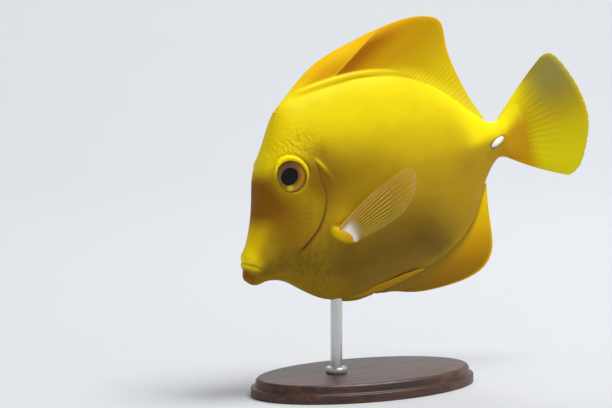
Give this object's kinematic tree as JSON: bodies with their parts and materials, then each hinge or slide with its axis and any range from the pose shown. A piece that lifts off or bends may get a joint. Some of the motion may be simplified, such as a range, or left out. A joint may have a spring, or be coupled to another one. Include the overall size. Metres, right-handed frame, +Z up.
{
  "type": "yellow tang fish model",
  "caption": "Still life-size model of a yellow tang, a tall thin reef fish with spread fins, held nose down by a slim rod on an oval base.",
  "frame": {"origin": "centre of the oval base's flat underside", "axes": "+Z up; the fish faces -X with its nose down and its left side on -Y; +X is towards its tail"},
  "size_m": [0.1423, 0.048, 0.1259],
  "materials": {
    "skin": "satin, finely scaled, lemon yellow",
    "fin": "satin membrane over fine rays, deep yellow",
    "clear_fin": "clear membrane over fine pale rays",
    "eye": "wet gloss",
    "spine": "satin white, horn in life",
    "stand_wood": "waxed walnut",
    "stand_steel": "brushed"
  },
  "bodies": {
    "root": {"head": "skin", "gill_cover_left": "skin", "gill_cover_right": "skin", "eye_left": "eye", "eye_right": "eye", "trunk": "skin", "tail_stalk": "skin", "tail_fin": "fin", "dorsal_fin": "fin", "anal_fin": "fin", "pectoral_fin_left": "clear_fin", "pectoral_fin_right": "clear_fin", "pelvic_fin_left": "fin", "pelvic_fin_right": "fin", "tail_spine_left": "spine", "tail_spine_right": "spine", "stand_base": "stand_wood", "stand_rod": "stand_steel"}
  },
  "joints": []
}
